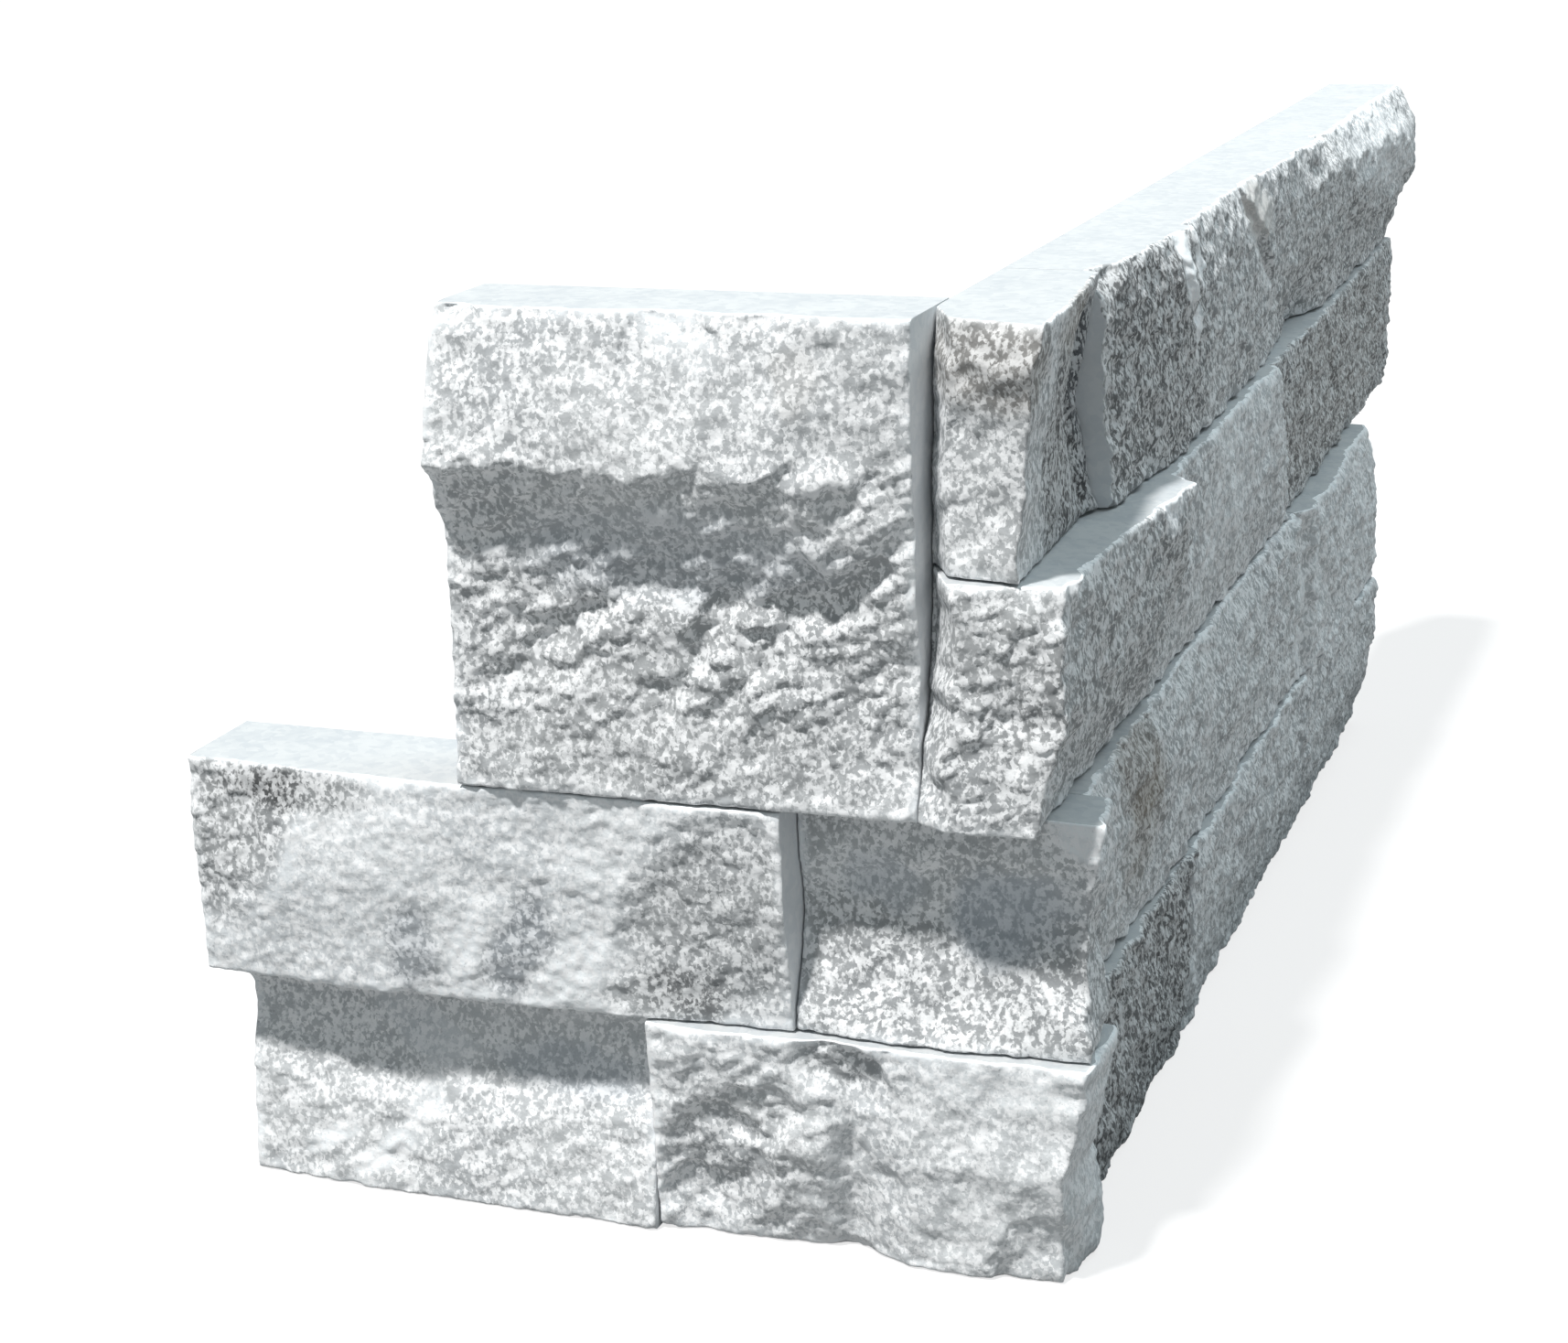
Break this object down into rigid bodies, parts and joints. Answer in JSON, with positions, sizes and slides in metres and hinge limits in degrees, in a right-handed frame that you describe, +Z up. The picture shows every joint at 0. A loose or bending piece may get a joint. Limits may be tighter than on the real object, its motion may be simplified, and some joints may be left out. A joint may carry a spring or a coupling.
{
  "type": "ledger stone veneer corner",
  "caption": "L-shaped corner panel of split-faced grey-white quartzite strips glued in stepped courses, for cladding the outside corner of a wall.",
  "frame": {"origin": "foot of the inner arris, where the two sawn backs and the base plane meet", "axes": "+Z up the arris; the short wing runs along -X and faces -Y, the long wing runs along +Y and faces +X"},
  "size_m": [0.151, 0.3498, 0.15],
  "materials": {
    "quartzite": "split face, sawn back and edges"
  },
  "bodies": {
    "root": {"short_block": "quartzite", "top_corner_stone": "quartzite", "top_long_stone": "quartzite", "second_corner_stone": "quartzite", "second_end_stone": "quartzite", "third_left_stone": "quartzite", "third_corner_stone": "quartzite", "third_long_stone": "quartzite", "third_end_stone": "quartzite", "bottom_left_stone": "quartzite", "bottom_corner_stone": "quartzite", "bottom_long_stone": "quartzite", "bottom_end_stone": "quartzite"}
  },
  "joints": []
}
